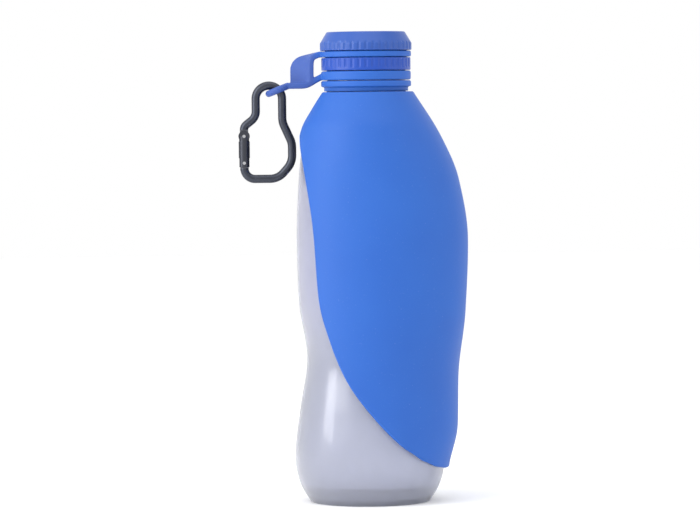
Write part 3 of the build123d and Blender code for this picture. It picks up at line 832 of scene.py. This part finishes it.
# %% Leaf: joined
def leaf_mesh():
    """Both faces and the rim as one closed mesh."""
    sheet = leaf_rows * leaf_columns
    points = np.concatenate([
        outer_face.reshape(-1, 3), inner_face.reshape(-1, 3), rim.reshape(-1, 3),
    ])
    index = np.arange(sheet).reshape(leaf_rows, leaf_columns)
    quads = np.stack([index[:-1, :-1], index[:-1, 1:], index[1:, 1:], index[1:, :-1]], -1)
    loop = (2 * sheet + np.arange(rim.shape[0] * rim.shape[1])).reshape(rim.shape[:2])
    ahead = np.roll(loop, -1, axis=1)
    rim_quads = np.stack([loop[:-1], loop[1:], ahead[1:], ahead[:-1]], -1)
    faces = np.concatenate([
        quads.reshape(-1, 4), quads.reshape(-1, 4)[:, ::-1] + sheet, rim_quads.reshape(-1, 4),
    ])
    mesh = bpy.data.meshes.new("silicone_leaf")
    mesh.from_pydata((points * MM).tolist(), [], faces.tolist())
    return mesh


leaf = finished("silicone_leaf", leaf_mesh(), radians(60))
dress(leaf, silicone, "leaf", "blue_silicone", "leaf_blade")

# %% [markdown]
# ## Collar
#
# The leaf is held by a cuff round the neck, joined to it by a thin web that the leaf folds at.
# It stays on the neck when the leaf is turned out, so it is a piece of its own on the bottle's
# body, and the fold's groove hides the line between them.

# %% Collar
collar_inner = 19.9
collar_outer = 22.5
collar_base = 207.6
collar_top = 210.6
fold_web_outer = 21.0

collar = turned("silicone_collar", rounded([
    (collar_inner, neck_base_height, 0.1),
    (fold_web_outer, neck_base_height, 0.2),
    (fold_web_outer, collar_base, 0.8),
    (collar_outer, collar_base, 0.7),
    (collar_outer, collar_top, 0.9),
    (collar_inner, collar_top, 0.2),
]), even_angles(192), wrap_rows=True)
dress(collar, silicone, "bottle", "blue_silicone", "leaf_collar")

# %% [markdown]
# ## Tether
#
# The tether is one moulding: a ring round the neck, a flat strap with an eyelet, a soft loop and
# a ring in the cap's groove. The loop is folded on the skew: it reaches further out behind than
# in front. Each run is easy to make alone, but a moulding has soft fillets where runs meet. So
# the runs are made as closed shapes that overlap, a voxel remesh melts them into one skin, and a
# little smoothing rounds every edge.

# %% Tether: its straps and rings
def evenly(points, count):
    """The same line as a fixed number of evenly spaced points."""
    points = np.array(points)
    run = np.concatenate([[0], np.linalg.norm(np.diff(points, axis=0), axis=1).cumsum()])
    at = np.linspace(0, run[-1], count)
    return np.stack([np.interp(at, run, column) for column in points.T], axis=-1)


def swept(name, near_path, far_path, width, thickness, corner=0.8):
    """A strap between a near and a far (x, z) path, so that it may be folded on the skew."""
    section = rounded([
        (-width / 2, -thickness / 2, corner), (width / 2, -thickness / 2, corner),
        (width / 2, thickness / 2, corner), (-width / 2, thickness / 2, corner),
    ])
    share = np.array([0.5 + a / width for a, _ in section])[None, :, None]
    middle = near_path[:, None, :] * (1 - share) + far_path[:, None, :] * share
    run = unit(np.gradient(middle, axis=0))
    rise = np.stack([-run[..., 1], run[..., 0]], axis=-1)
    edge = middle + rise * np.array([b for _, b in section])[None, :, None]
    across = np.broadcast_to(np.array([a for a, _ in section]), edge.shape[:2])
    rows = np.stack([edge[..., 0], across, edge[..., 1]], axis=-1)
    caps = [np.broadcast_to(row.mean(axis=0), row.shape)[None] for row in (rows[0], rows[-1])]
    return skin(name, np.concatenate([caps[0], rows, caps[1]]))


def ring(name, inner, outer, low, high, corner):
    """A turned ring with rounded corners."""
    return turned(name, rounded([
        (inner, low, 0.2), (outer, low, corner), (outer, high, corner), (inner, high, 0.2),
    ]), even_angles(128), wrap_rows=True)


neck_ring_inner, neck_ring_outer = 19.9, 22.4
neck_ring_base, neck_ring_top = 210.9, 215.5
strap_width, strap_thickness = 9.0, 3.0
strap_level = 208.4
strap_top = strap_level + strap_thickness / 2
bar_x, bar_height = -48.7, 204.579
eyelet_ring_radius = 5.1
eyelet_section_radius = 1.7
eyelet_tilt = radians(22)
eyelet_centre = Vector((
    bar_x + eyelet_ring_radius * cos(eyelet_tilt), 0,
    bar_height + eyelet_ring_radius * sin(eyelet_tilt),
))
cap_ring_inner, cap_ring_outer = 20.7, 22.6
cap_ring_low, cap_ring_high = 222.4, 225.4
lug_x = -23.2
cap_ring_middle = (cap_ring_low + cap_ring_high) / 2

neck_ring = ring("neck_ring", neck_ring_inner, neck_ring_outer, neck_ring_base, neck_ring_top, 0.8)
strap_path = evenly(rounded([
    (-21.2, 213.2, 0), (-neck_ring_outer - 2.6, strap_level + 2.9, 8),
    (-neck_ring_outer - 7.4, strap_level, 8),
    (eyelet_centre.x + eyelet_ring_radius - 0.85, strap_level, 0),
], closed=False), 32)
strap = swept("strap", strap_path, strap_path, strap_width, strap_thickness)


def loop_path(out, height, bend_radius):
    """One edge of the loop: up from the strap, over, and into the cap ring's lug."""
    return evenly(rounded([
        (-neck_ring_outer - out, strap_top, 0),
        (-neck_ring_outer - out, strap_top + height, bend_radius),
        (lug_x, cap_ring_middle, 4),
        (lug_x + 1.2, cap_ring_middle, 0),
    ], closed=False), 40)


loop = swept(
    "loop", loop_path(4.6, 12.4, 3.0), loop_path(14.7, 11.3, 6.0), strap_width, strap_thickness,
)
cap_ring = ring("cap_ring", cap_ring_inner, cap_ring_outer, cap_ring_low, cap_ring_high, 0.6)


def torus(name, centre, radius, section_radius, tilt):
    """A ring of round section, tilted about Y."""
    around = even_angles(96)[None, :]
    about = even_angles(28)[:, None]
    reach = radius + section_radius * np.cos(about)
    flat_x, flat_y = reach * np.cos(around), reach * np.sin(around)
    rise = section_radius * np.sin(about) + 0 * around
    rows = np.stack([
        centre.x + flat_x * cos(tilt) - rise * sin(tilt), flat_y,
        centre.z + flat_x * sin(tilt) + rise * cos(tilt),
    ], axis=-1)
    return skin(name, rows, wrap_rows=True)


eyelet = torus("eyelet", eyelet_centre, eyelet_ring_radius, eyelet_section_radius, eyelet_tilt)


# %% Tether: melted into one moulding
def melted(name, runs, voxel_mm, smoothing):
    """One skin over several closed shapes, with soft fillets where they meet."""
    work = bmesh.new()
    for run in runs:
        work.from_mesh(run.data)
    mesh = bpy.data.meshes.new(name)
    work.to_mesh(mesh)
    work.free()
    for run in runs:
        bpy.data.objects.remove(run)
    whole = bpy.data.objects.new(name, mesh)
    bpy.context.scene.collection.objects.link(whole)
    modifier = whole.modifiers.new("melt", "REMESH")
    modifier.mode = "VOXEL"
    modifier.voxel_size = voxel_mm * MM
    smooth = whole.modifiers.new("soften", "SMOOTH")
    smooth.factor = 0.5
    smooth.iterations = smoothing
    evaluated = whole.evaluated_get(bpy.context.evaluated_depsgraph_get())
    made = bpy.data.meshes.new_from_object(evaluated)
    bpy.data.objects.remove(whole)
    return finished(name, made, radians(80))


tether = melted("silicone_tether", [neck_ring, strap, loop, cap_ring, eyelet], 0.34, 8)
tether.data.materials.append(tether_silicone)
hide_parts("tether_neck_ring", "tether_loop", "tether_cap_ring")
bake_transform(tether)
print(f"{tether.name}: {len(tether.data.polygons)} faces")

# %% [markdown]
# ## Cap
#
# A moulded screw cap: a skirt, a groove that the tether's ring turns in, a head with a deep
# chamfer, and 40 shallow flutes for the fingers. A thin lip below the skirt covers the bead on
# the bottle's neck. The whole cap is one turned outline, outside and inside. Its shape function
# presses the flutes in and raises the inner thread, which shows when the cap is lifted and seen
# from below.

# %% Cap
cap_skirt_radius, cap_groove_radius, cap_head_radius = 22.3, 20.4, 22.9
cap_skirt_base, cap_groove_base, cap_head_base = 216.9, 222.1, 225.7
cap_chamfer_base, cap_top, cap_top_radius = 229.3, 235.0, 19.5
cap_bore_radius, cap_ceiling = 19.0, 231.8
cap_lip_base, cap_lip_inner = 215.8, 21.3
cap_flutes, cap_flute_radius, cap_flute_depth = 40, 1.1, 0.35
cap_dish_depth = 0.35
cap_thread_turns, cap_thread_start = 1.25, 218.875
cap_thread_angle = radians(90)

cap_outline = refine(rounded([
    (0, cap_top - cap_dish_depth, 0),
    (cap_top_radius - 2.6, cap_top - cap_dish_depth, 0.8),
    (cap_top_radius - 1.9, cap_top, 0.5),
    (cap_top_radius, cap_top, 1.0),
    (cap_head_radius, cap_chamfer_base, 1.2),
    (cap_head_radius, cap_head_base, 0.5),
    (cap_groove_radius, cap_head_base, 0.3),
    (cap_groove_radius, cap_groove_base, 0.3),
    (cap_skirt_radius, cap_groove_base, 0.5),
    (cap_skirt_radius, cap_lip_base, 0.4),
    (cap_lip_inner, cap_lip_base, 0.3),
    (cap_lip_inner, cap_skirt_base, 0.2),
    (cap_bore_radius, cap_skirt_base, 0.4),
    (cap_bore_radius, cap_ceiling, 0.6),
    (0, cap_ceiling, 0),
], closed=False), 0.45)


def fade_between(value, low, high, run):
    """1 between low and high, falling smoothly to 0 over a run inside both ends."""
    share = np.clip(np.minimum(value - low, high - value) / run, 0, 1)
    return share * share * (3 - 2 * share)


def cap_shape(radius, height, angle):
    """Finger flutes on the skirt and the head, and the thread inside."""
    pitch = 2 * pi / cap_flutes
    off = radius * (np.mod(angle + pitch / 2, pitch) - pitch / 2)
    sunk = np.sqrt(np.clip(cap_flute_radius ** 2 - off ** 2, 0, None))
    flute = np.clip(sunk - (cap_flute_radius - cap_flute_depth), 0, None)
    outside = 1.0 * (radius > cap_skirt_radius - 0.8)
    band = (
        fade_between(height, cap_skirt_base, cap_groove_base, 0.9)
        + fade_between(height, cap_head_base, cap_chamfer_base + 1.0, 0.9)
    )
    inside = (radius < cap_bore_radius + 0.05) & (radius > cap_bore_radius - 0.05)
    turn = np.mod(angle - cap_thread_angle, 2 * pi)
    thread = inside * ridge(height, turn, cap_thread_start, cap_thread_turns)
    return -(outside * band * flute + thread * 1.05)


cap = turned("screw_cap", cap_outline, even_angles(cap_flutes * 12), cap_shape)
dress(cap, cap_plastic, "cap", "blue_cap_plastic", "cap_shell")

# %% [markdown]
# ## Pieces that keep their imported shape
#
# The carabiner's frame and gate, its pins, plunger and spring, and the cap's seal are already
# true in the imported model, so they stay and only get their finish.

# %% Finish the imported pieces
for node, material in {
    "carabiner_frame": anodised, "carabiner_gate": gate_anodised, "gate_pin": steel,
    "gate_latch_pin": steel, "gate_spring": steel, "gate_plunger": steel,
    "cap_seal": seal_silicone,
}.items():
    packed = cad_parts[node]
    packed.data.materials.clear()
    packed.data.materials.append(material)
    print(node, "is", material.name)
